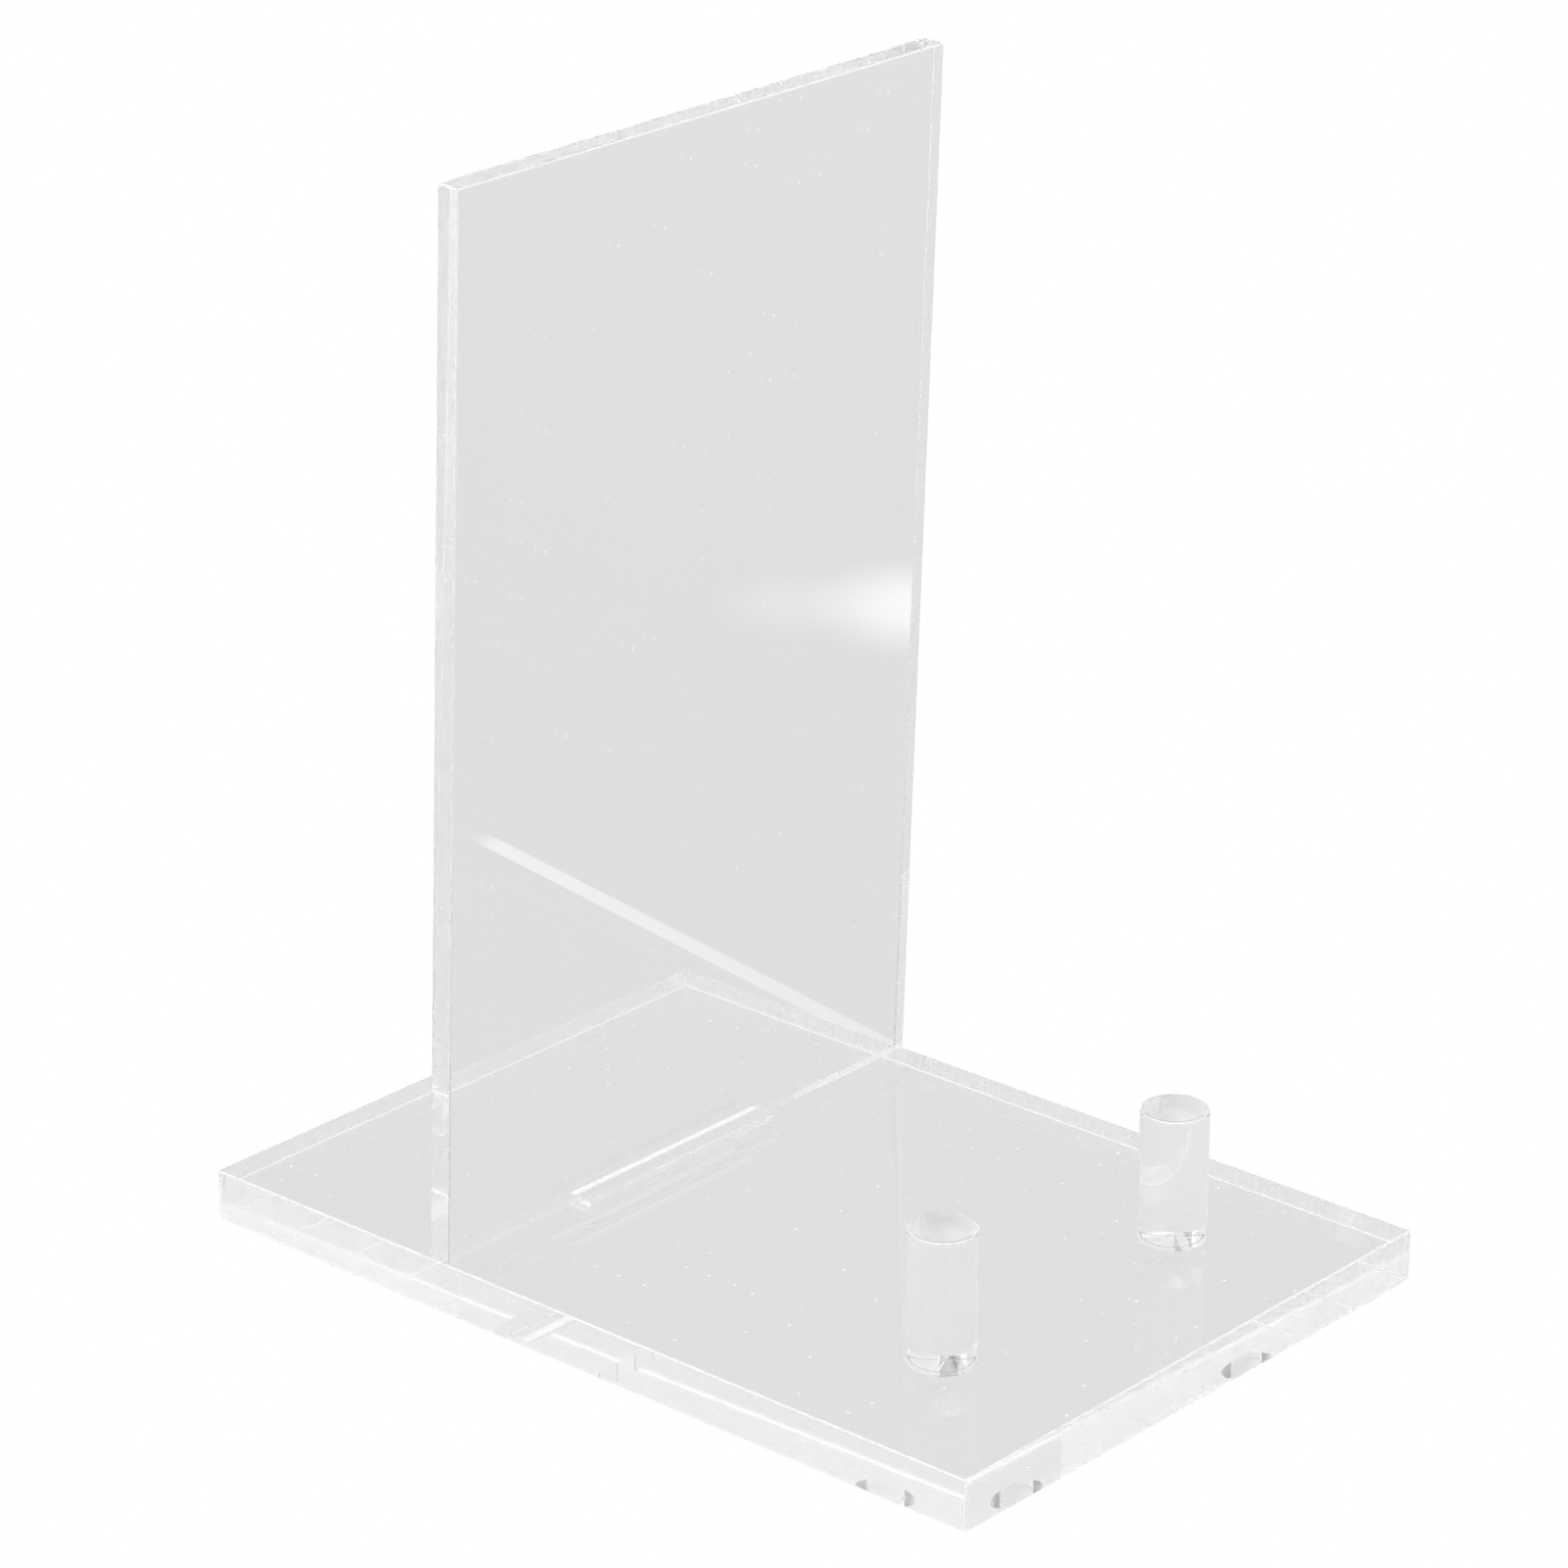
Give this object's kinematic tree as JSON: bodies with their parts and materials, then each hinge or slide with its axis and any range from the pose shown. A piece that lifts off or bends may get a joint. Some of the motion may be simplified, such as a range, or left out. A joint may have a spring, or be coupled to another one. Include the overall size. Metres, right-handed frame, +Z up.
{
  "type": "sneeze guard",
  "caption": "Free-standing clear acrylic guard: an upright panel on a thick base plate, with a foot strip and short round stop posts in front.",
  "frame": {"origin": "centre of the base plate's underside", "axes": "+Z up out of the base plate; +X to the right and -Y to the front, where the posts stand"},
  "size_m": [0.15, 0.215, 0.252],
  "materials": {
    "plate_acrylic": "clear cast acrylic sheet, polished faces and flame-polished edges",
    "panel_acrylic": "clear cast acrylic sheet, polished faces and flame-polished edges",
    "strip_acrylic": "clear cast acrylic sheet, polished faces and saw-cut ends",
    "rod_acrylic": "clear acrylic rod, polished sides and turned top"
  },
  "bodies": {
    "root": {"base_plate": "plate_acrylic", "upright_panel": "panel_acrylic", "foot_strip": "strip_acrylic", "left_post": "rod_acrylic", "right_post": "rod_acrylic"}
  },
  "joints": []
}
